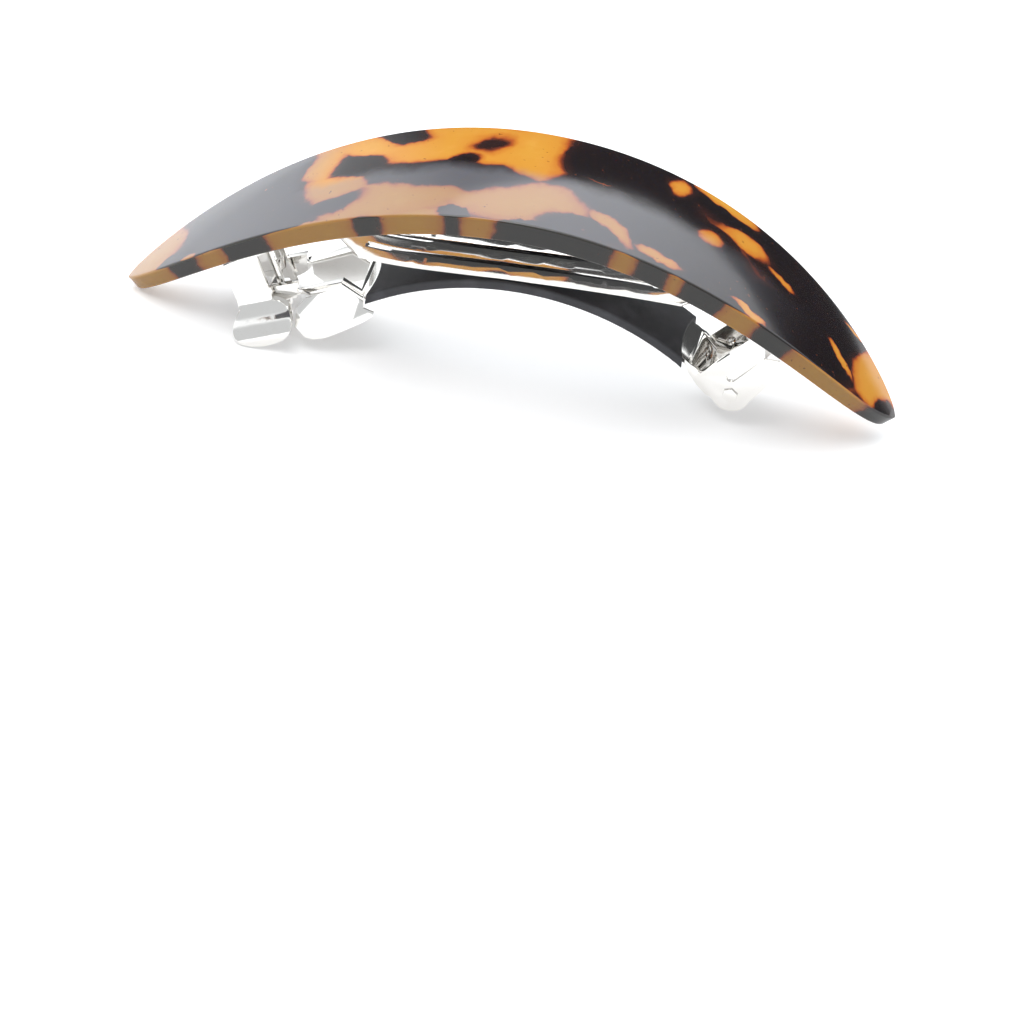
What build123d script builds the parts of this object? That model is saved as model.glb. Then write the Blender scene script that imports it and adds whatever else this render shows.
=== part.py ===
from build123d import *
import os
from math import cos, pi, radians, sin, sqrt

# A hair barrette: a bowed acetate leaf with a sprung snap clip on its underside.
# Millimetres. +X runs from the clasp to the hinge, +Y is across, +Z is up, towards the
# crown of the bow. The origin is midway between the bow's tips, level with its lowest point,
# the tip on the clasp's side. Drops are heights below the crown of the guide curve.

# ---- driving dimensions ----
crown_height = 29.274  # of the bow's guide curve, over the surface that the barrette stands on
crown_x = 1.075  # from midway between the tips; X in the clip is given from here
bow_shift = 0.53  # from there to the crown of the bow's guide curve
half_length = 62.06  # unit of length along the guide curve: positions on it are shares of this
bow_turn = 1.0666  # slope of the guide curve, in radians at a share of 1: the even part ...
bow_skew = 0.0525  # ... what makes one side turn a little faster than the other ...
bow_flatten = -0.2357  # ... the part by which the bow straightens towards its tips ...
bow_curl = -0.0385  # ... and a little more of that at the hinge's end than at the clasp's
leaf_middle = -0.0299  # widest place of the leaf outline, as a share
leaf_half = 0.9852  # from there to its tips
leaf_power_clasp = 2.027  # fullness of the leaf outline, on the clasp's side ...
leaf_power_hinge = 2.648  # ... and on the hinge's
leaf_taper = 0.623  # sharpness of its tips
last_station = 0.9985  # share of leaf_half at which the tips are cut off blunt
bow_width = 22.10
bow_tip_thickness = 2.38
bow_crown_extra = 1.0  # how much thicker the bow's edge is where it is widest
bow_dome = 0.8  # how far the middle of its top stands over the edges there
bow_edge_radius = 0.55

glue_thickness = 0.10
glue_inset = 0.4  # of the glue from the strip's edges
metal = 0.7  # gauge of the base strip and its ears
thin_metal = 0.6  # gauge of the swing arm
leaf_metal = 0.45  # gauge of the tension spring
clip_width = 10.4  # over the hinge ears
strip_width = 9.6
strip_start = -0.753  # ends of the base strip, as shares of the bow's half length
strip_end = 0.660

hinge_x = 29.7
hinge_drop = 24.1  # below the crown, as every drop here is
pin_radius = 0.8
pin_gap = 0.05  # running clearance of the cheeks on the pin
pin_head_radius = 1.1
pin_head = 0.2
ear_radius = 2.6
cheek_radius = 1.95
groove_length = 6.4
groove_width = 1.3
groove_depth = 0.42
groove_turn = 50.0  # of the grooves stamped in the ears, in degrees
dimple_radius = 0.72  # of the stop on the inside of each ear

sleeve_radius = 37.7  # underside of the arched grip sleeve
sleeve_thickness = 1.5
sleeve_width = 10.3
sleeve_start = -20.9  # ends of the sleeve, along X
sleeve_end = 22.7
sleeve_hollow = 0.8  # how far its ends are cut back in the middle
sleeve_gap = 0.03  # all round the arm inside it
arch_x = 0.8  # crown of the sleeve, along X
fold_x = 24.2  # where the arm turns down to its hinge
arch_drop = 14.5  # underside of the sleeve at its crown, below the crown of the guide curve

arm_width = 8.4  # inside the sleeve
cheek_gap = 0.15  # from each cheek to its ear
loop_width = 9.8
loop_end_width = 7.8  # between the finger pads
loop_window = 6.0
skirt_lean = 18.0  # how far the loop's side walls lean out, in degrees
skirt_metal = 0.6

spring_width = 9.4
spring_slot = 0.9
spring_rail = (spring_width - 2 * spring_slot) / 3
spring_tongue = 4.0
tongue_gap = 0.35  # each side of the tongue, in the bridge
bridge_metal = 0.6  # gauge of the bridge that holds the spring by its tongue
bridge_x = 27.6
bridge_high = 9.9  # drop of its upper end, inside the strip
bridge_low = 12.9  # ... and of its underside
bridge_slit_high = 10.9  # drop of the slit for the tongue ...
bridge_slit_low = 12.25  # ... down to here

pad_lean = 25.0  # lean of the finger pads towards the hinge, in degrees
pad_neck = 5.0
pad_lip = 8.4
pad_length = 10.9
pad_metal = 0.8
pad_seat_gap = 0.15  # under the base strip
foot_share = -0.71  # middle of the pads' feet, as a share of the bow's half length
foot_inner = 2.2  # inner ends of the feet, from the middle
foot_metal = 0.6
lip_flare = 3.5
lip_rise = 2.6  # half the height of the lip's oval
post_width = 0.8
post_offset = 5.9  # of the posts, along the strip from the pads' outer corners
post_length = 8.8  # down from the outer corners
post_reach = 2.6  # half the distance over the two posts
barb = 0.15

os.makedirs("parts", exist_ok=True)


# ---- the bow's guide curve ----
def slope(share):
    """Downward slope of the guide curve, in radians, at a share of its half length."""
    return bow_turn * share + bow_skew * share**2 + bow_flatten * share**3 + bow_curl * share**4


def run(share, part):
    """Length gathered along the guide curve from its crown, seen through cos or sin."""
    steps = 60
    step = share / steps
    return sum(part(slope((i + 0.5) * step)) for i in range(steps)) * step


def guide(share, depth=0.0):
    """X and Z of the point that lies depth below the guide curve, square to it."""
    tilt = slope(share)
    x = crown_x + bow_shift + half_length * run(share, cos) - depth * sin(tilt)
    z = crown_height - half_length * run(share, sin) - depth * cos(tilt)
    return x, z


def half_width(share):
    """Half the width of the leaf outline."""
    from_middle = abs(share - leaf_middle) / leaf_half
    power = leaf_power_hinge if share > leaf_middle else leaf_power_clasp
    return bow_width / 2 * (1 - from_middle**power) ** leaf_taper


def below(x, drop):
    """X and Z of a point in the clip, measured from the crown of the guide curve."""
    return crown_x + x, crown_height - drop


def station(share):
    """Cross-section plane of the bow, with its X across the leaf and its Y out of the crown."""
    x, z = guide(share)
    tilt = slope(share)
    return Plane(origin=(x, 0, z), x_dir=(0, 1, 0), z_dir=(cos(tilt), 0, -sin(tilt)))


def band(upper, lower):
    """Closed side view between two smooth rows of points."""
    Spline(*upper)
    Line(upper[-1], lower[-1])
    Spline(*lower)
    Line(lower[0], upper[0])


def plan(half):
    """Closed plan outline from its +Y half, with X measured from the crown."""
    right_way = [(crown_x + x, y) for x, y in half]
    Polyline(*right_way, *[(x, -y) for x, y in reversed(right_way)], close=True)


def side_plane(y):
    """Side view at a given Y: sketch X is the row's X, sketch Y is its Z, normal to -Y."""
    return Plane(origin=(0, y, 0), x_dir=(1, 0, 0), z_dir=(0, -1, 0))


# ---- acetate bow ----
stations_each_side = 10
quarter = pi / 2 / stations_each_side
bow_stations = [
    leaf_middle + last_station * leaf_half * sin(quarter * i)
    for i in range(-stations_each_side, stations_each_side + 1)
]
with BuildPart() as acetate_bow:
    for share in bow_stations:
        spread = half_width(share)
        fullness = (2 * spread / bow_width) ** 2
        edge_top = bow_crown_extra * fullness
        with BuildSketch(station(share)) as section:
            with BuildLine():
                Polyline((-spread, edge_top), (-spread, -bow_tip_thickness), (spread, -bow_tip_thickness))
                Line((spread, -bow_tip_thickness), (spread, edge_top))
                ThreePointArc((spread, edge_top), (0, edge_top + bow_dome * fullness), (-spread, edge_top))
            make_face()
            fillet(section.vertices(), min(bow_edge_radius, 0.6 * spread))
    loft()
acetate_bow.part.label = "acetate_bow"
export_step(acetate_bow.part, "parts/acetate_bow.step")

# ---- glue and base strip ----
strip_shares = [strip_start + (strip_end - strip_start) * i / 14 for i in range(15)]
glue_top = [guide(share, bow_tip_thickness) for share in strip_shares]
glue_bottom = [guide(share, bow_tip_thickness + glue_thickness) for share in strip_shares]
strip_depth = bow_tip_thickness + glue_thickness + metal
strip_bottom = [guide(share, strip_depth) for share in strip_shares]

with BuildPart() as adhesive_film:
    with BuildSketch(side_plane(0)):
        with BuildLine():
            band(glue_top, glue_bottom)
        make_face()
    extrude(amount=strip_width / 2 - glue_inset, both=True)
adhesive_film.part.label = "adhesive_film"
export_step(adhesive_film.part, "parts/adhesive_film.step")

pin_x, pin_z = below(hinge_x, hinge_drop)
ear_root_shares = (0.585, 0.61, 0.635, 0.655)
ear_roots = [guide(share, strip_depth - metal / 2) for share in ear_root_shares]
ear_corner = below(24.95, 22.0)
ear_heel = below(27.3, 25.2)  # where its lower edge meets the round about the pin
ear_side = below(32.3, 24.9)
ear_shoulder = below(36.7, 18.1)
ear_hole = [below(33.4, 15.4), below(35.9, 17.0), below(35.6, 17.4), below(33.7, 17.5)]
groove_x, groove_z = below(31.2, 19.4)
dimple_x, dimple_z = below(27.85, 22.1)

cheek_outer = clip_width / 2 - metal - cheek_gap
with BuildPart() as base_strip:
    with BuildSketch(side_plane(0)):
        with BuildLine():
            band(glue_bottom, strip_bottom)
        make_face()
    extrude(amount=strip_width / 2, both=True)
    for side in (-1, 1):
        with BuildSketch(side_plane(side * clip_width / 2)):
            with BuildLine():
                Polyline(ear_heel, ear_corner, *ear_roots, ear_shoulder, ear_side)
                ThreePointArc(ear_side, (pin_x, pin_z - ear_radius), ear_heel)
            make_face()
        extrude(amount=side * metal)
        with BuildSketch(side_plane(side * clip_width / 2)):
            with Locations((pin_x, pin_z)):
                Circle(pin_radius)
        extrude(amount=side * metal, mode=Mode.SUBTRACT)
        # hole between the ear's two lobes, and the stamped groove that runs from it to the pin
        with BuildSketch(side_plane(side * clip_width / 2)):
            with BuildLine():
                Polyline(*ear_hole, close=True)
            make_face()
        extrude(amount=side * metal, mode=Mode.SUBTRACT)
        with BuildSketch(side_plane(side * clip_width / 2)):
            with Locations((groove_x, groove_z)):
                SlotOverall(groove_length, groove_width, rotation=groove_turn)
        extrude(amount=side * groove_depth, mode=Mode.SUBTRACT)
    dimple_y = clip_width / 2 - metal - 0.05
    with Locations((dimple_x, -dimple_y, dimple_z), (dimple_x, dimple_y, dimple_z)):
        Sphere(dimple_radius)
    # bridge under the spring's tongue
    slit_half = spring_tongue / 2 + tongue_gap
    with BuildSketch(side_plane(0)):
        with Locations(below(bridge_x, (bridge_high + bridge_low) / 2)):
            Rectangle(2 * bridge_metal, bridge_low - bridge_high)
    extrude(amount=slit_half + bridge_metal, both=True)
    with BuildSketch(side_plane(0)):
        with Locations(below(bridge_x, (bridge_slit_high + bridge_slit_low) / 2)):
            Rectangle(3 * bridge_metal, bridge_slit_low - bridge_slit_high)
    extrude(amount=slit_half, both=True, mode=Mode.SUBTRACT)
base_strip.part.label = "base_strip"
export_step(base_strip.part, "parts/base_strip.step")

# ---- hinge pin ----
with BuildPart() as hinge_pin:
    with BuildSketch(side_plane(0)):
        with Locations((pin_x, pin_z)):
            Circle(pin_radius)
    extrude(amount=clip_width / 2, both=True)
    for side in (-1, 1):
        with BuildSketch(side_plane(side * clip_width / 2)):
            with Locations((pin_x, pin_z)):
                RegularPolygon(pin_head_radius, 6, rotation=20)
        extrude(amount=-side * pin_head)
hinge_pin.part.label = "hinge_pin"
export_step(hinge_pin.part, "parts/hinge_pin.step")

# ---- swing arm ----
arch_z = crown_height - arch_drop - sleeve_radius
arm_bottom_radius = sleeve_radius + (sleeve_thickness - thin_metal) / 2


def arch_point(radius, x):
    """Point at a given X from the crown, on an arc about the arch's centre."""
    return crown_x + x, arch_z + sqrt(radius**2 - (x - arch_x) ** 2)


def arm_side(radius, lift):
    """Half of the arm's side view: points along one surface, from the loop's end to the hinge."""
    loop = [below(-34.6, 25.2 - lift), below(-29.9, 22.5 - lift), below(-24.4, 19.4 - lift)]
    return loop, arch_point(radius, -21.3), arch_point(radius, arch_x), arch_point(radius, fold_x)


arm_end = below(27.0, 25.4)
arm_lip = below(27.6, 25.2)
with BuildPart() as swing_arm:
    with BuildSketch(side_plane(0)):
        with BuildLine():
            loop, left, crown, right = arm_side(arm_bottom_radius + thin_metal, thin_metal)
            Polyline(*loop, left)
            ThreePointArc(left, crown, right)
            Line(right, arm_lip)
            Line(arm_lip, arm_end)
            low_loop, low_left, low_crown, low_right = arm_side(arm_bottom_radius, 0)
            Line(arm_end, low_right)
            ThreePointArc(low_right, low_crown, low_left)
            Polyline(low_left, *reversed(low_loop))
            Line(low_loop[0], loop[0])
        make_face()
    extrude(amount=loop_width / 2, both=True)
    with BuildSketch(Plane.XY):
        with BuildLine():
            loop_plan = [(-35.0, 3.3), (-34.4, loop_end_width / 2), (-29.6, loop_end_width / 2)]
            loop_plan += [(-28.4, loop_width / 2), (-21.1, loop_width / 2), (-21.1, arm_width / 2)]
            hinge_plan = [(22.4, arm_width / 2), (23.2, cheek_outer), (26.2, cheek_outer)]
            plan(loop_plan + hinge_plan + [(26.2, 3.0), (28.0, 2.4)])
        make_face()
    extrude(amount=crown_height, mode=Mode.INTERSECT)
    with BuildSketch(Plane.XY):
        with BuildLine():
            half_window = loop_window / 2
            plan([(-33.5, half_window), (-24.4, half_window + 0.2), (-21.8, half_window + 0.2)])
        make_face()
    extrude(amount=crown_height, mode=Mode.SUBTRACT)
    for side in (-1, 1):
        # raised corner block at the loop's end
        with BuildSketch(side_plane(side * loop_window / 2)):
            with BuildLine():
                block = [below(-34.0, 25.2), below(-30.2, 23.1), below(-30.5, 20.7), below(-34.0, 22.3)]
                Polyline(*block, close=True)
            make_face()
        extrude(amount=-side * (loop_end_width - loop_window) / 2)
        # leaning side wall under the rail
        lean = radians(skirt_lean)
        wall_plane = Plane(
            origin=(crown_x, side * (loop_width / 2 - 0.35), crown_height - 20),
            x_dir=(1, 0, 0),
            z_dir=(0, -cos(lean), -side * sin(lean)),
        )
        with BuildSketch(wall_plane):
            with BuildLine():
                low = [(-30.0, 3.6), (-29.7, 5.9), (-28.2, 7.1), (-27.0, 7.2), (-25.4, 6.65)]
                low += [(-23.4, 5.45), (-20.6, 3.55), (-19.6, 2.6), (-19.5, 2.0)]
                high = [(-21.0, 1.75), (-21.2, 0.9), (-24.4, -0.6), (-29.0, 2.0)]
                Polyline(*[(x, -drop / cos(lean)) for x, drop in low + high], close=True)
            make_face()
        extrude(amount=skirt_metal / 2, both=True)
        # cheek on the pin
        with BuildSketch(side_plane(side * cheek_outer)):
            with BuildLine():
                cheek = [below(22.9, 20.6), below(24.4, 21.3), below(25.8, 22.6), below(28.3, 23.2)]
                cheek += [(pin_x, pin_z), below(hinge_x, hinge_drop + cheek_radius)]
                cheek += [below(28.0, 26.0), below(26.3, 25.4), below(25.0, 24.2), below(23.6, 22.4)]
                Polyline(*cheek, close=True)
            make_face()
            with Locations((pin_x, pin_z)):
                Circle(cheek_radius)
                Circle(pin_radius + pin_gap, mode=Mode.SUBTRACT)
        extrude(amount=side * thin_metal)
swing_arm.part.label = "swing_arm"
export_step(swing_arm.part, "parts/swing_arm.step")

# ---- grip sleeve ----
hollow_radius = (sleeve_width**2 / 4 + sleeve_hollow**2) / (2 * sleeve_hollow)


def arch_band(low_radius, high_radius, start, end):
    """Side view between two arcs about the arch's centre, from one X to another."""
    low = [arch_point(low_radius, x) for x in (start, arch_x, end)]
    high = [arch_point(high_radius, x) for x in (start, arch_x, end)]
    ThreePointArc(*low)
    Line(low[2], high[2])
    ThreePointArc(*high)
    Line(high[0], low[0])


with BuildPart() as arm_sleeve:
    with BuildSketch(side_plane(0)):
        with BuildLine():
            arch_band(sleeve_radius, sleeve_radius + sleeve_thickness, sleeve_start, sleeve_end)
        make_face()
    extrude(amount=sleeve_width / 2, both=True)
    fillet(arm_sleeve.edges().filter_by(GeomType.CIRCLE), 0.35)
    with BuildSketch(Plane.XY):
        for end, way in ((sleeve_start, -1), (sleeve_end, 1)):
            with Locations((crown_x + end + way * (hollow_radius - sleeve_hollow), 0)):
                Circle(hollow_radius)
    extrude(amount=crown_height, mode=Mode.SUBTRACT)
    with BuildSketch(side_plane(0)):
        with BuildLine():
            low_bore = arm_bottom_radius - sleeve_gap
            arch_band(low_bore, low_bore + thin_metal + 2 * sleeve_gap, -21.2, 23.0)
        make_face()
    extrude(amount=arm_width / 2 + sleeve_gap, both=True, mode=Mode.SUBTRACT)
arm_sleeve.part.label = "arm_sleeve"
export_step(arm_sleeve.part, "parts/arm_sleeve.step")

# ---- tension spring ----
spring_low = [below(-27.0, 13.3), below(-23.5, 14.0), below(-19.0, 14.2), below(-8.6, 13.5)]
spring_low += [below(arch_x, 12.7), below(10.5, 12.05), below(20.0, 11.7), below(28.6, 11.75)]
spring_high = [(x, z + leaf_metal) for x, z in spring_low]
with BuildPart() as tension_spring:
    with BuildSketch(side_plane(0)):
        with BuildLine():
            band(spring_high, spring_low)
        make_face()
    extrude(amount=spring_width / 2, both=True)
    with BuildSketch(Plane.XY):
        with BuildLine():
            tongue = spring_tongue / 2
            clasp_end = [(-26.9, tongue), (-25.6, tongue), (-22.6, spring_width / 2)]
            plan(clasp_end + [(21.6, spring_width / 2), (24.2, tongue), (28.4, tongue)])
        make_face()
        with Locations((crown_x - 1.0, 0)):
            with GridLocations(0, spring_rail + spring_slot, 1, 2):
                SlotOverall(42.0, spring_slot, mode=Mode.SUBTRACT)
    extrude(amount=crown_height, mode=Mode.INTERSECT)
tension_spring.part.label = "tension_spring"
export_step(tension_spring.part, "parts/tension_spring.step")

# ---- finger pads of the clasp ----
pad_x, pad_z = below(-40.4, 19.95)
lean = radians(pad_lean)
pad_across = (cos(lean), 0, sin(lean))  # along the base strip, towards the hinge
foot_x, foot_z = guide(foot_share, strip_depth + pad_seat_gap)
foot_plane = Plane(
    origin=(foot_x, 0, foot_z),
    x_dir=(cos(slope(foot_share)), 0, -sin(slope(foot_share))),
    z_dir=(sin(slope(foot_share)), 0, cos(slope(foot_share))),
)


def pad_face(y):
    """Face of a pad: X along the strip from the pad's outer corner, Y up towards the strip."""
    return Plane(origin=(pad_x, y, pad_z), x_dir=pad_across, z_dir=(0, -1, 0))


def pad_edge(side):
    """Edge view of a pad: X outwards from its outer face, Y along the pad, away from the strip."""
    normal = pad_across if side < 0 else (-pad_across[0], 0, -pad_across[2])
    return Plane(origin=(pad_x, side * clip_width / 2, pad_z), x_dir=(0, side, 0), z_dir=normal)


def make_pad(side, name):
    """One finger pad: neck, rolled lip, foot under the base strip and barbed post."""
    lip_end = (lip_flare, pad_length)
    lip_back = (lip_flare - pad_metal, pad_length)
    with BuildPart() as pad:
        with BuildSketch(pad_edge(side)):
            with BuildLine():
                Line((0, -4.0), (0, 5.2))
                Spline((0, 5.2), (0.3, 6.3), (1.3, 7.35), (2.6, 8.1), (3.35, 8.9), lip_end)
                Line(lip_end, lip_back)
                Spline(lip_back, (2.5, 9.4), (1.95, 8.8), (0.9, 8.15), (-0.4, 7.0), (-pad_metal, 5.2))
                Line((-pad_metal, 5.2), (-pad_metal, -4.0))
                Line((-pad_metal, -4.0), (0, -4.0))
            make_face()
        extrude(amount=12, both=True)
        with BuildSketch(pad_face(side * (clip_width / 2 + 6))):
            with Locations((pad_neck / 2, -1.2)):
                Rectangle(pad_neck, 10.6)
            with Locations((pad_neck / 2 + 0.7, lip_rise - pad_length)):
                Ellipse(pad_lip / 2, lip_rise)
        extrude(amount=side * 12, mode=Mode.INTERSECT)
        with BuildSketch(foot_plane):
            with Locations((1.1, side * (foot_inner + clip_width / 2) / 2)):
                Rectangle(7.2, clip_width / 2 - foot_inner)
        extrude(amount=-foot_metal)
        with BuildSketch(pad_face(side * post_reach)):
            with Locations((post_offset, -post_length / 2 + 1.5)):
                Rectangle(post_width, post_length + 3.0)
        extrude(amount=side * post_width)
        with BuildSketch(pad_face(side * (post_reach + barb))):
            with Locations((post_offset, 0.4 - post_length)):
                Rectangle(post_width, 0.8)
        extrude(amount=side * post_width)
        with BuildSketch(foot_plane):
            Rectangle(40, 40)
        extrude(amount=10, mode=Mode.SUBTRACT)
    pad.part.label = name
    export_step(pad.part, f"parts/{name}.step")
    return pad


for side, name in ((-1, "clasp_pad_near"), (1, "clasp_pad_far")):
    make_pad(side, name)
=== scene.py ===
import math

import bmesh
import bpy
from mathutils import Matrix, Vector


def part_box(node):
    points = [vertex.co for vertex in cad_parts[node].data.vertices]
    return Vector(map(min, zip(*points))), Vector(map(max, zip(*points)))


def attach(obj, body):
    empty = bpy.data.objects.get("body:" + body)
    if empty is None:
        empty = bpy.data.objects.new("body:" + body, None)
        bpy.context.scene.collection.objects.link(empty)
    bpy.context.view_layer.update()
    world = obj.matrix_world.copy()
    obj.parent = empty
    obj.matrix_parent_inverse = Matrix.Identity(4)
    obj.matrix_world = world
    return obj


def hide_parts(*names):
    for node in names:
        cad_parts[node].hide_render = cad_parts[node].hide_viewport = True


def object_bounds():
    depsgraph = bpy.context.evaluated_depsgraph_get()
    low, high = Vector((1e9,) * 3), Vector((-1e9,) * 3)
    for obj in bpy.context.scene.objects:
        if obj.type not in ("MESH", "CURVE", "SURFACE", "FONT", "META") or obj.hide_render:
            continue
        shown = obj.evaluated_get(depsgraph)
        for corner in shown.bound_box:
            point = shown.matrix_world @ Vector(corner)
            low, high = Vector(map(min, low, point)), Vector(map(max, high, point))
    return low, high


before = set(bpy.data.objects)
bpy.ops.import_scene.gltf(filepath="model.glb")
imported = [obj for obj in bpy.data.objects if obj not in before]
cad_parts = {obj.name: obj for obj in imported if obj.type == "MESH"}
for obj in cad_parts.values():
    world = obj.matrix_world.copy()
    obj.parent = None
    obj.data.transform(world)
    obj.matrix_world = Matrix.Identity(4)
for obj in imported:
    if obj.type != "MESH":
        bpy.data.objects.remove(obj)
cad_low, cad_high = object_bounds()

MM = 0.001
bow_low, bow_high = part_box("acetate_bow")

# ---- the bow's shape, in millimetres, as in the part's source ----
BOW_TURN = 1.0666  # slope at a share of 1, in radians: the even part of the bend ...
BOW_SKEW = 0.0525  # ... what makes one side turn a little faster ...
BOW_FLATTEN = -0.2357  # ... the part by which it straightens towards the tips ...
BOW_CURL = -0.0385  # ... and a little more of that at the hinge's end
HALF_LENGTH = 62.06
LEAF_MIDDLE = -0.0299
LEAF_HALF = 0.9852
LEAF_POWER_CLASP = 2.027
LEAF_POWER_HINGE = 2.648
LEAF_TAPER = 0.623
BOW_HALF_WIDTH = (bow_high.y - bow_low.y) / 2 / MM
TIP_THICKNESS = 2.38
CROWN_EXTRA = 1.0
DOME = 0.8
EDGE_RADIUS = 0.4
STATIONS = 200  # along the bow, closer together towards the tips
OUTERMOST = 0.99985  # the last stations, as a share of half the leaf: they close the skin
BLUNT_WIDTH = 1.6  # half width below which the bow thins towards its tip ...
BLUNT_DEPTH = 0.85  # ... down to this share of its thickness
CLIP_X = 1.075  # from midway between the tips
BOW_SHIFT = 0.53  # from there to the crown of the guide curve
CROWN_HEIGHT = bow_high.z / MM - CROWN_EXTRA - DOME


def slope(share):
    """How far the guide curve has turned down, in radians."""
    return BOW_TURN * share + BOW_SKEW * share**2 + BOW_FLATTEN * share**3 + BOW_CURL * share**4


def run(share, part):
    """How far the guide curve goes level (math.cos) or down (math.sin), for a half length of 1."""
    steps = 60
    return sum(part(slope((i + 0.5) * share / steps)) for i in range(steps)) * share / steps


def guide(share):
    """X and Z of the guide curve at a share of its half length, from -1 to 1."""
    x = CLIP_X + BOW_SHIFT + HALF_LENGTH * run(share, math.cos)
    return x, CROWN_HEIGHT - HALF_LENGTH * run(share, math.sin)


def half_width(share):
    """The leaf outline: from the bow's middle line to its side wall."""
    from_middle = abs(share - LEAF_MIDDLE) / LEAF_HALF
    power = LEAF_POWER_HINGE if share > LEAF_MIDDLE else LEAF_POWER_CLASP
    return BOW_HALF_WIDTH * (1 - from_middle**power) ** LEAF_TAPER


# ---- materials ----
class Wire:
    """A socket in a material's nodes, with arithmetic that adds Math nodes."""

    def __init__(self, finish, socket):
        self.finish, self.socket = finish, socket

    def _math(self, operation, first, second=None):
        inputs = {0: first} if second is None else {0: first, 1: second}
        return self.finish.add("ShaderNodeMath", {"operation": operation}, inputs)

    def __add__(self, other):
        return self._math("ADD", self, other)

    def __radd__(self, other):
        return self._math("ADD", other, self)

    def __sub__(self, other):
        return self._math("SUBTRACT", self, other)

    def __rsub__(self, other):
        return self._math("SUBTRACT", other, self)

    def __mul__(self, other):
        return self._math("MULTIPLY", self, other)

    def __rmul__(self, other):
        return self._math("MULTIPLY", other, self)

    def most(self, other):
        return self._math("MAXIMUM", self, other)

    def size(self):
        return self._math("ABSOLUTE", self)

    def fade(self, start, end):
        """0 below start, 1 above end, and smooth between them."""
        settings = {"interpolation_type": "SMOOTHSTEP"}
        return self.finish.add("ShaderNodeMapRange", settings, {0: self, 1: start, 2: end})


class Finish:
    """The nodes of a material, or of the world."""

    def __init__(self, name, owner=None):
        self.owner = owner or bpy.data.materials.new(name)
        self.owner.use_nodes = True
        self.tree = self.owner.node_tree
        self.tree.nodes.clear()

    def add(self, kind, settings=None, inputs=None, output=0):
        """A node of that type: its settings first, then the values or wires of its inputs."""
        node = self.tree.nodes.new(kind)
        for key, value in (settings or {}).items():
            if key == "stops":
                ramp = node.color_ramp
                while len(ramp.elements) < len(value):
                    ramp.elements.new(0.5)
                for element, (place, colour) in zip(ramp.elements, value):
                    element.position, element.color = place, (*colour, 1)
            else:
                setattr(node, key, value)
        for key, value in (inputs or {}).items():
            if isinstance(value, Wire):
                self.tree.links.new(value.socket, node.inputs[key])
            else:
                node.inputs[key].default_value = value
        return Wire(self, node.outputs[output]) if len(node.outputs) else None

    def place(self, name=None):
        """Coordinates in millimetres: the piece's own, or a named set that its mesh holds."""
        if name:
            return self.add("ShaderNodeAttribute", {"attribute_name": name}, output=1)
        own = self.add("ShaderNodeTexCoord", output=3)
        return self.vector("SCALE", {0: own, 3: 1 / MM})

    def noise(self, place, scale, detail=2.0, rough=0.5, output=0):
        inputs = {"Vector": place, "Scale": scale, "Detail": detail, "Roughness": rough}
        return self.add("ShaderNodeTexNoise", inputs=inputs, output=output)

    def vector(self, operation, inputs, output=0):
        return self.add("ShaderNodeVectorMath", {"operation": operation}, inputs, output)

    def parts(self, place):
        """The X, Y and Z of coordinates."""
        split = self.add("ShaderNodeSeparateXYZ", inputs={0: place}).socket.node
        return [Wire(self, socket) for socket in split.outputs]

    def warp(self, place, scale, reach, detail=2.0):
        """The same coordinates pushed about by noise, reach millimetres each way."""
        push = self.noise(place, scale, detail, output=1)
        push = self.vector("SUBTRACT", {0: push, 1: (0.5,) * 3})
        push = self.vector("SCALE", {0: push, 3: 2 * reach})
        return self.vector("ADD", {0: place, 1: push})

    def ramp(self, value, stops):
        return self.add("ShaderNodeValToRGB", {"stops": stops}, {0: value})

    def mix(self, share, first, second, blend="MIX"):
        """One colour laid over another."""
        settings = {"data_type": "RGBA", "blend_type": blend}
        first, second = (c if isinstance(c, Wire) else (*c, 1) for c in (first, second))
        return self.add("ShaderNodeMix", settings, {0: share, 6: first, 7: second}, output=2)

    def bump(self, height, distance, strength=1.0):
        inputs = {"Height": height, "Distance": distance * MM, "Strength": strength}
        return self.add("ShaderNodeBump", inputs=inputs)

    def shade(self, inputs):
        shader = self.add("ShaderNodeBsdfPrincipled", inputs=inputs)
        self.add("ShaderNodeOutputMaterial", inputs={"Surface": shader})
        return self.owner


# Patches of the sheet, as (along, across, half length, half width, turn in degrees). All but
# the turn are in millimetres, from the crown and measured along the leaf.
DARK_PATCHES = [
    (-43.5, 1.0, 9.0, 7.5, 12),
    (-47.5, -3.5, 6.5, 3.0, 18),
    (-37.0, -5.0, 8.0, 5.0, 0),
    (-37.5, 4.5, 4.6, 3.8, 20),
    (-26.0, 3.2, 3.8, 2.6, -25),
    (-20.0, 8.8, 4.2, 2.0, -18),
    (-8.0, 5.9, 3.7, 2.5, 20),
    (-10.3, 1.7, 3.0, 1.6, 50),
    (-11.0, -2.0, 9.0, 3.2, -6),
    (-26.5, -6.0, 4.5, 1.9, 0),
    (-10.0, -10.6, 1.8, 1.0, 0),
    (-23.0, -10.8, 2.0, 1.6, 0),
    (6.8, -8.4, 4.2, 1.9, 0),
    (1.5, -11.3, 4.5, 1.0, 0),
    (11.0, 3.6, 9.0, 8.5, 0),
    (18.0, -2.5, 9.0, 5.6, -12),
    (25.5, 6.0, 4.6, 2.2, -12),
    (28.0, -6.6, 7.0, 2.4, 0),
    (17.6, -11.0, 2.8, 2.4, 0),
    (26.8, -10.6, 3.6, 2.0, 0),
    (37.5, -9.0, 3.4, 1.8, 0),
    (41.0, 3.5, 11.0, 4.6, -10),
    (40.0, -4.4, 8.0, 3.6, 10),
    (57.8, -2.0, 2.2, 2.4, 0),
    (-55.0, -4.6, 2.6, 1.4, 20),
]
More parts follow.
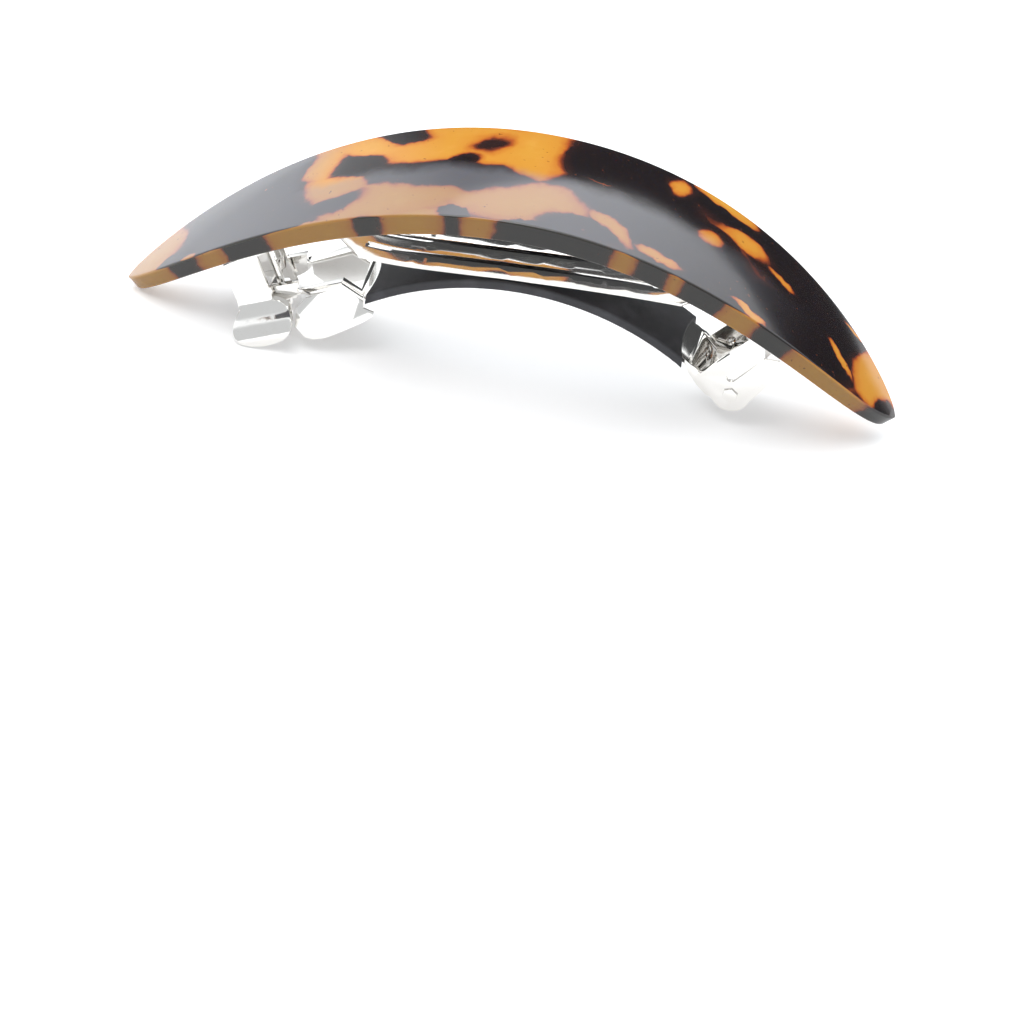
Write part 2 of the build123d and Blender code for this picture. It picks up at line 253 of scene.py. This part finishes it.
AMBER_PATCHES = [
    (-57.8, -0.6, 6.6, 3.6, 25),
    (-38.6, 3.4, 0.8, 0.5, 40),
    (-30.5, 4.6, 3.2, 4.0, 0),
    (-24.0, 6.8, 4.6, 2.6, -10),
    (-29.0, -2.5, 5.0, 3.2, 0),
    (-19.0, -6.6, 8.5, 3.2, 8),
    (-11.0, 5.6, 9.5, 5.0, 0),
    (-1.5, 5.6, 4.6, 6.0, 0),
    (0.0, -5.6, 9.0, 3.0, 8),
    (8.6, 1.6, 3.4, 0.35, -8),
    (11.0, -6.4, 4.0, 1.3, -35),
    (17.6, 7.5, 1.9, 2.2, -20),
    (24.3, 9.6, 4.0, 1.3, -10),
    (28.6, 4.2, 5.4, 1.8, -12),
    (23.6, -0.4, 2.0, 1.7, -20),
    (18.0, -8.2, 3.2, 1.0, -5),
    (35.6, 1.7, 3.0, 0.7, -8),
    (33.0, -8.8, 3.6, 0.6, 0),
    (47.0, -2.0, 3.0, 0.8, -28),
    (53.0, 0.8, 3.9, 3.5, 0),
    (47.8, 5.8, 2.4, 0.5, -10),
    (-50.5, -5.6, 2.0, 1.0, 20),
    (-30.0, -9.6, 5.0, 0.8, 0),
    (-15.5, -10.9, 3.0, 0.9, 0),
]
# Dark bands across the bow's side wall, as (along, half length).
WALL_BANDS = [
    (-51.4, 2.1), (-41.0, 3.6), (-22.2, 1.8), (-10.0, 1.3), (4.0, 8.2),
    (18.2, 2.2), (26.0, 2.9), (37.6, 2.8), (60.0, 5.2),
]


# The sheet's colour from the middle of an amber patch to the middle of a dark one.
SHEET_COLOURS = [
    (0.0, (0.53, 0.25, 0.034)),
    (0.30, (0.52, 0.225, 0.030)),
    (0.42, (0.47, 0.16, 0.022)),
    (0.475, (0.34, 0.070, 0.016)),
    (0.51, (0.12, 0.026, 0.012)),
    (0.55, (0.026, 0.011, 0.010)),
    (0.70, (0.010, 0.007, 0.008)),
]
MISTED_COLOURS = [
    (0.0, (0.60, 0.32, 0.060)),
    (0.42, (0.50, 0.18, 0.03)),
    (0.52, (0.10, 0.022, 0.012)),
    (0.60, (0.020, 0.011, 0.010)),
]
SPECK = (0.10, 0.028, 0.012)
# painted reflection: the grey of a soft box's haze on the polished top
HAZE_REFLECTION = (0.20, 0.20, 0.22)
WALL_SHADE = (0.36, 0.35, 0.10)  # painted shade: the side wall is made deeper and olive, standing in for the dimmer light on it and for the longer path seen through the sheet


def nearness(made, sheet, patches):
    """How deep a place lies in its nearest patch: 0 well outside, 0.6 at its rim, 1.6 in its middle."""
    height, thickness = -1.5, 6.0  # each patch goes right through the sheet
    beyond = 1.6
    deepest = 0.0
    for along, across, long, wide, turn in patches:
        inputs = {
            "Vector": sheet,
            "Location": (along, across, height),
            "Rotation": (0, 0, math.radians(turn)),
            "Scale": (long, wide, thickness),
        }
        at = made.add("ShaderNodeMapping", {"vector_type": "TEXTURE"}, inputs)
        inside = beyond - made.vector("LENGTH", {0: at}, output=1)
        deepest = inside.most(deepest)
    return deepest


def wall_depth(along):
    """How deep a place on the side wall lies in its nearest dark band."""
    deepest = None
    for middle, half in WALL_BANDS:
        inside = half - (along - middle).size()
        deepest = inside.most(deepest) if deepest else inside
    return deepest * 0.35


def tortoiseshell_acetate():
    """Dark brown patches with red-brown borders in amber, polished."""
    made = Finish("tortoiseshell_acetate")
    sheet = made.place("sheet_mm")
    wavy = made.warp(sheet, 0.16, 1.5, 1.0)
    wavy = made.warp(wavy, 0.75, 0.45, 2.0)
    along, across, _ = made.parts(wavy)
    on_wall = made.add("ShaderNodeAttribute", {"attribute_name": "side_wall"}, output=2)

    cloud = made.noise(wavy, 0.11, 3.0, 0.55)
    depth = nearness(made, wavy, DARK_PATCHES) - nearness(made, wavy, AMBER_PATCHES)
    depth = depth + (cloud - 0.5) * 0.9 + 0.03
    depth = depth + (wall_depth(along) - depth) * on_wall.fade(0.25, 0.75)
    depth = depth * 0.5 + 0.5
    mist = made.noise(sheet, 0.35, 4.0, 0.6).fade(0.45, 0.75)
    clear, misted = made.ramp(depth, SHEET_COLOURS), made.ramp(depth, MISTED_COLOURS)
    colour = made.mix(mist * 0.35, clear, misted)
    speck = made.noise(made.warp(sheet, 1.6, 0.3), 1.3, 2.0).fade(0.70, 0.76)
    colour = made.mix(speck * 0.75, colour, SPECK)
    # painted reflection: a grey soft-box haze laid over the clasp's end and along the near side
    clasp_end = 1 - along.fade(-36.0, -26.0)
    near_side = (1 - across.fade(-2.0, 1.5)) * (1 - along.fade(4.0, 44.0))
    colour = made.mix(clasp_end.most(near_side) * (1 - on_wall) * 0.5, colour, HAZE_REFLECTION)
    # painted shade multiplied over the whole side wall
    colour = made.mix(on_wall * 0.9, colour, WALL_SHADE, "MULTIPLY")
    rub = made.noise(sheet, 2.2, 4.0, 0.6)
    return made.shade({
        "Base Color": colour,
        "Roughness": 0.09 + 0.05 * rub,
        "IOR": 1.49,
        "Subsurface Weight": 0.15,
        "Subsurface Radius": (1.0, 0.35, 0.08),
        "Subsurface Scale": 1.2 * MM,
        "Normal": made.bump(made.noise(sheet, 0.22, 2.0), 0.05, 0.35),
    })


def nickel_plate(name, tone, grain):
    """Bright nickel plate on stamped steel: faint roll marks, handling haze and dull spots."""
    bright, hazed, dull = (1.0, 0.985, 0.96), (0.94, 0.92, 0.88), (0.72, 0.69, 0.64)
    bright, hazed, dull = ([tone * c for c in colour] for colour in (bright, hazed, dull))
    made = Finish(name)
    own = made.place()
    haze = made.noise(own, 0.5, 4.0, 0.6)
    inputs = {"Vector": own, "Scale": (0.25, 9.0, 4.0)}
    drawn = made.add("ShaderNodeMapping", {"vector_type": "POINT"}, inputs)
    marks = made.noise(drawn, 1.0, 3.0, 0.6)
    spots = made.noise(own, 2.6, 3.0, 0.7).fade(0.62, 0.75)
    return made.shade({
        "Base Color": made.mix(spots * 0.35, made.mix(haze, bright, hazed), dull),
        "Metallic": 1.0,
        "Roughness": grain + 0.10 * haze * haze + 0.12 * spots + 0.04 * marks,
        "Normal": made.bump(marks * 0.5 + haze, 0.006, 0.12),
    })


def black_grip():
    """Matt black moulded sleeve with a fine leathery grain, greyer where hair rubs it."""
    black, worn, raised = (0.040, 0.040, 0.044), (0.060, 0.060, 0.066), (0.055, 0.055, 0.060)
    made = Finish("black_grip")
    own = made.place()
    grain = made.noise(own, 5.5, 5.0, 0.65)
    inputs = {"Vector": made.warp(own, 3.0, 0.15), "Scale": 3.2}
    cells = made.add("ShaderNodeTexVoronoi", {"feature": "F1"}, inputs)
    wear = made.noise(own, 0.25, 3.0).fade(0.4, 0.8)
    colour = made.mix(wear, black, worn)
    return made.shade({
        "Base Color": made.mix(grain.fade(0.55, 0.75) * 0.5, colour, raised),
        "Roughness": 0.55 + 0.25 * grain,
        "Specular IOR Level": 0.35,
        "Normal": made.bump(grain + cells * 0.4, 0.05, 0.6),
    })


def clear_adhesive():
    """Thin bond line, slightly yellow, with trapped specks."""
    made = Finish("clear_adhesive")
    cloud = made.noise(made.place(), 0.8, 4.0, 0.6)
    return made.shade({
        "Base Color": made.mix(cloud, (0.62, 0.56, 0.42), (0.78, 0.74, 0.62)),
        "Roughness": 0.25 + 0.3 * cloud,
        "Normal": made.bump(cloud, 0.04, 0.5),
    })


ACETATE = tortoiseshell_acetate()
PLATE = nickel_plate("plated_steel", 0.85, 0.05)
SPRING_PLATE = nickel_plate("plated_spring_steel", 0.86, 0.04)
GRIP = black_grip()
GLUE = clear_adhesive()


# ---- pieces ----
def place_in_scene(name, mesh, material, body, slot, *nodes):
    """Links a finished mesh as a piece that stands for those CAD nodes."""
    piece = bpy.data.objects.new(name, mesh)
    bpy.context.scene.collection.objects.link(piece)
    mesh.materials.clear()
    mesh.materials.append(material)
    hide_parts(*nodes)
    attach(piece, body)


def bow_section(spread):
    """Points round a section, as (across, above the guide curve, how far it is on the side wall)."""
    under_steps, round_steps, wall_steps, top_steps = 8, 6, 4, 20
    fullness = (spread / BOW_HALF_WIDTH) ** 2
    edge_top, dome = CROWN_EXTRA * fullness, DOME * fullness
    radius = min(EDGE_RADIUS, spread * 0.6)
    flat = spread - radius
    low, high = radius - TIP_THICKNESS, edge_top - radius
    quarter = [(i / round_steps, math.pi / 2 * i / round_steps) for i in range(1, round_steps + 1)]

    half = [(flat * i / under_steps, -TIP_THICKNESS, 0) for i in range(under_steps + 1)]
    half += [(flat + radius * math.sin(t), low - radius * math.cos(t), wall) for wall, t in quarter]
    half += [(spread, low + (high - low) * i / wall_steps, 1) for i in range(1, wall_steps + 1)]
    half += [(flat + radius * math.cos(t), high + radius * math.sin(t), 1 - wall) for wall, t in quarter]
    for i in range(1, top_steps + 1):
        inwards = 1 - i / top_steps
        half.append((flat * inwards, edge_top + dome * (1 - inwards**2), 0))
    return half + [(-across, height, wall) for across, height, wall in half[-2:0:-1]]


def acetate_leaf():
    """The bow: one skin over its stations, closed by a small facet rounded into each tip."""
    shape = bmesh.new()
    sheet = shape.verts.layers.float_vector.new("sheet_mm")
    side_wall = shape.verts.layers.float.new("side_wall")
    middle = -TIP_THICKNESS / 2
    rings = []
    for i in range(STATIONS + 1):
        from_middle = OUTERMOST * math.sin(math.pi / 2 * (2 * i / STATIONS - 1))
        share = LEAF_MIDDLE + LEAF_HALF * from_middle
        tilt, (x0, z0), spread = slope(share), guide(share), half_width(share)
        pinch = min(1.0, (spread / BLUNT_WIDTH) ** 0.5)
        thinning = BLUNT_DEPTH + (1 - BLUNT_DEPTH) * pinch
        ring = []
        for y, height, wall in bow_section(spread):
            height = middle + (height - middle) * thinning
            x = x0 + height * math.sin(tilt)
            z = z0 + height * math.cos(tilt)
            vertex = shape.verts.new((x * MM, y * MM, z * MM))
            vertex[sheet] = (HALF_LENGTH * share + BOW_SHIFT, y, height)
            vertex[side_wall] = wall
            ring.append(vertex)
        rings.append(ring)
    for low, high in zip(rings, rings[1:]):
        for i in range(len(low)):
            j = (i + 1) % len(low)
            shape.faces.new((low[i], low[j], high[j], high[i]))
    shape.faces.new(list(reversed(rings[0])))
    shape.faces.new(rings[-1])
    bmesh.ops.recalc_face_normals(shape, faces=shape.faces)
    for face in shape.faces:
        face.smooth = True
    name = "acetate_bow_polished"
    mesh = bpy.data.meshes.new(name)
    shape.to_mesh(mesh)
    shape.free()
    place_in_scene(name, mesh, ACETATE, "bow", "tortoiseshell_acetate", "acetate_bow")


def softened(node, material, body, slot, width):
    """A CAD node with its flat faces rejoined and its sharp corners rolled over."""
    weld, flat, corner, smooth = 0.002 * MM, *(math.radians(d) for d in (0.08, 28, 40))
    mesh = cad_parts[node].data.copy()
    mesh.name = node + "_finished"
    shape = bmesh.new()
    shape.from_mesh(mesh)
    bmesh.ops.remove_doubles(shape, verts=shape.verts, dist=weld)
    bmesh.ops.dissolve_limit(shape, angle_limit=flat, verts=shape.verts, edges=shape.edges)
    sharp = [e for e in shape.edges if len(e.link_faces) == 2 and e.calc_face_angle(0) > corner]
    bmesh.ops.bevel(
        shape, geom=sharp, offset=width * MM, segments=3, profile=0.5, affect="EDGES", clamp_overlap=True
    )
    for face in shape.faces:
        face.smooth = True
    for edge in shape.edges:
        edge.smooth = edge.calc_face_angle(0) < smooth
    shape.to_mesh(mesh)
    shape.free()
    place_in_scene(node + "_finished", mesh, material, body, slot, node)


acetate_leaf()
softened("base_strip", PLATE, "bow", "plated_steel", 0.10)
softened("hinge_pin", PLATE, "bow", "plated_steel", 0.10)
softened("swing_arm", PLATE, "arm", "plated_steel", 0.10)
softened("arm_sleeve", GRIP, "arm", "black_grip", 0.12)
softened("tension_spring", SPRING_PLATE, "leaf", "plated_spring_steel", 0.08)
softened("clasp_pad_near", PLATE, "near_pad", "plated_steel", 0.12)
softened("clasp_pad_far", PLATE, "far_pad", "plated_steel", 0.12)
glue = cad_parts["adhesive_film"]
glue.data.materials.clear()
glue.data.materials.append(GLUE)


# ---- studio ----
def pale_floor():
    """A pale sheet just under the lowest point."""
    reach, gap = 3.0, 0.05 * MM
    made = Finish("pale_floor")
    cloud = made.noise(made.place(), 0.02, 3.0)
    paint = made.shade({
        "Base Color": made.mix(cloud, (0.90,) * 3, (0.94,) * 3),
        "Roughness": 0.6,
        "Normal": made.bump(cloud, 0.2, 0.1),
        "Emission Color": (1, 1, 1, 1),
        "Emission Strength": 0.16,
    })
    mesh = bpy.data.meshes.new("floor")
    corners = [(-reach, -reach, 0), (reach, -reach, 0), (reach, reach, 0), (-reach, reach, 0)]
    mesh.from_pydata(corners, [], [range(4)])
    mesh.materials.append(paint)
    floor = bpy.data.objects.new("floor", mesh)
    floor.location.z = cad_low.z - gap
    bpy.context.scene.collection.objects.link(floor)


def soft_box(name, place, size, power):
    """A square lamp turned towards the middle of the floor."""
    lamp = bpy.data.lights.new(name, "AREA")
    lamp.shape = "RECTANGLE"
    lamp.size = lamp.size_y = size
    lamp.energy = power
    box = bpy.data.objects.new(name, lamp)
    box.location = place
    box.rotation_euler = (-Vector(place)).to_track_quat("-Z", "Y").to_euler()
    bpy.context.scene.collection.objects.link(box)


def white_tent():
    """A white tent, brighter above and to the left behind, with one dark opening to the right behind."""
    world = bpy.data.worlds.new("studio")
    bpy.context.scene.world = world
    tent = Finish("studio", world)
    x, y, z = tent.parts(tent.add("ShaderNodeTexCoord"))
    behind = y.fade(-0.2, 0.3)
    upper = (z + 0.25 * x).fade(0.53, 0.60)
    opening = (1 - upper) * x.fade(-0.46, -0.30) * y.fade(0.2, 0.5)
    left = (1 - x.fade(-0.75, -0.30)) * behind
    strength = (0.76 + 1.9 * upper * behind + 1.3 * left) * (1 - 0.9 * opening)
    inputs = {"Color": (0.95, 0.975, 1.0, 1), "Strength": strength}
    light = tent.add("ShaderNodeBackground", inputs=inputs)
    tent.add("ShaderNodeOutputWorld", inputs={"Surface": light})


def camera():
    """A long lens, turned a little about its own axis."""
    right = Vector((0.97637, 0.18993, 0.10313)).normalized()
    back = Vector((0.09567, -0.80772, 0.58175)).normalized()
    up = back.cross(right).normalized()
    right = up.cross(back)
    crown = Vector((CLIP_X, 0, CROWN_HEIGHT)) * MM
    aim = crown - right * 3.746 * MM - up * 43.82 * MM
    distance = 5.0
    seen_width = 137.481 * MM  # across the view, at the crown
    lens = bpy.data.cameras.new("camera")
    lens.sensor_width = 36.0
    lens.lens = lens.sensor_width * distance / seen_width
    lens.clip_start, lens.clip_end = 1.0, 60.0
    seat = bpy.data.objects.new("camera", lens)
    turn = Matrix((right, up, back)).transposed()
    seat.matrix_world = Matrix.Translation(aim + back * distance) @ turn.to_4x4()
    bpy.context.scene.collection.objects.link(seat)
    bpy.context.scene.camera = seat


pale_floor()
white_tent()
soft_box("key", (-0.25, -0.25, 0.9), 0.5, 4.0)
bpy.context.scene.view_settings.view_transform = "Standard"
camera()
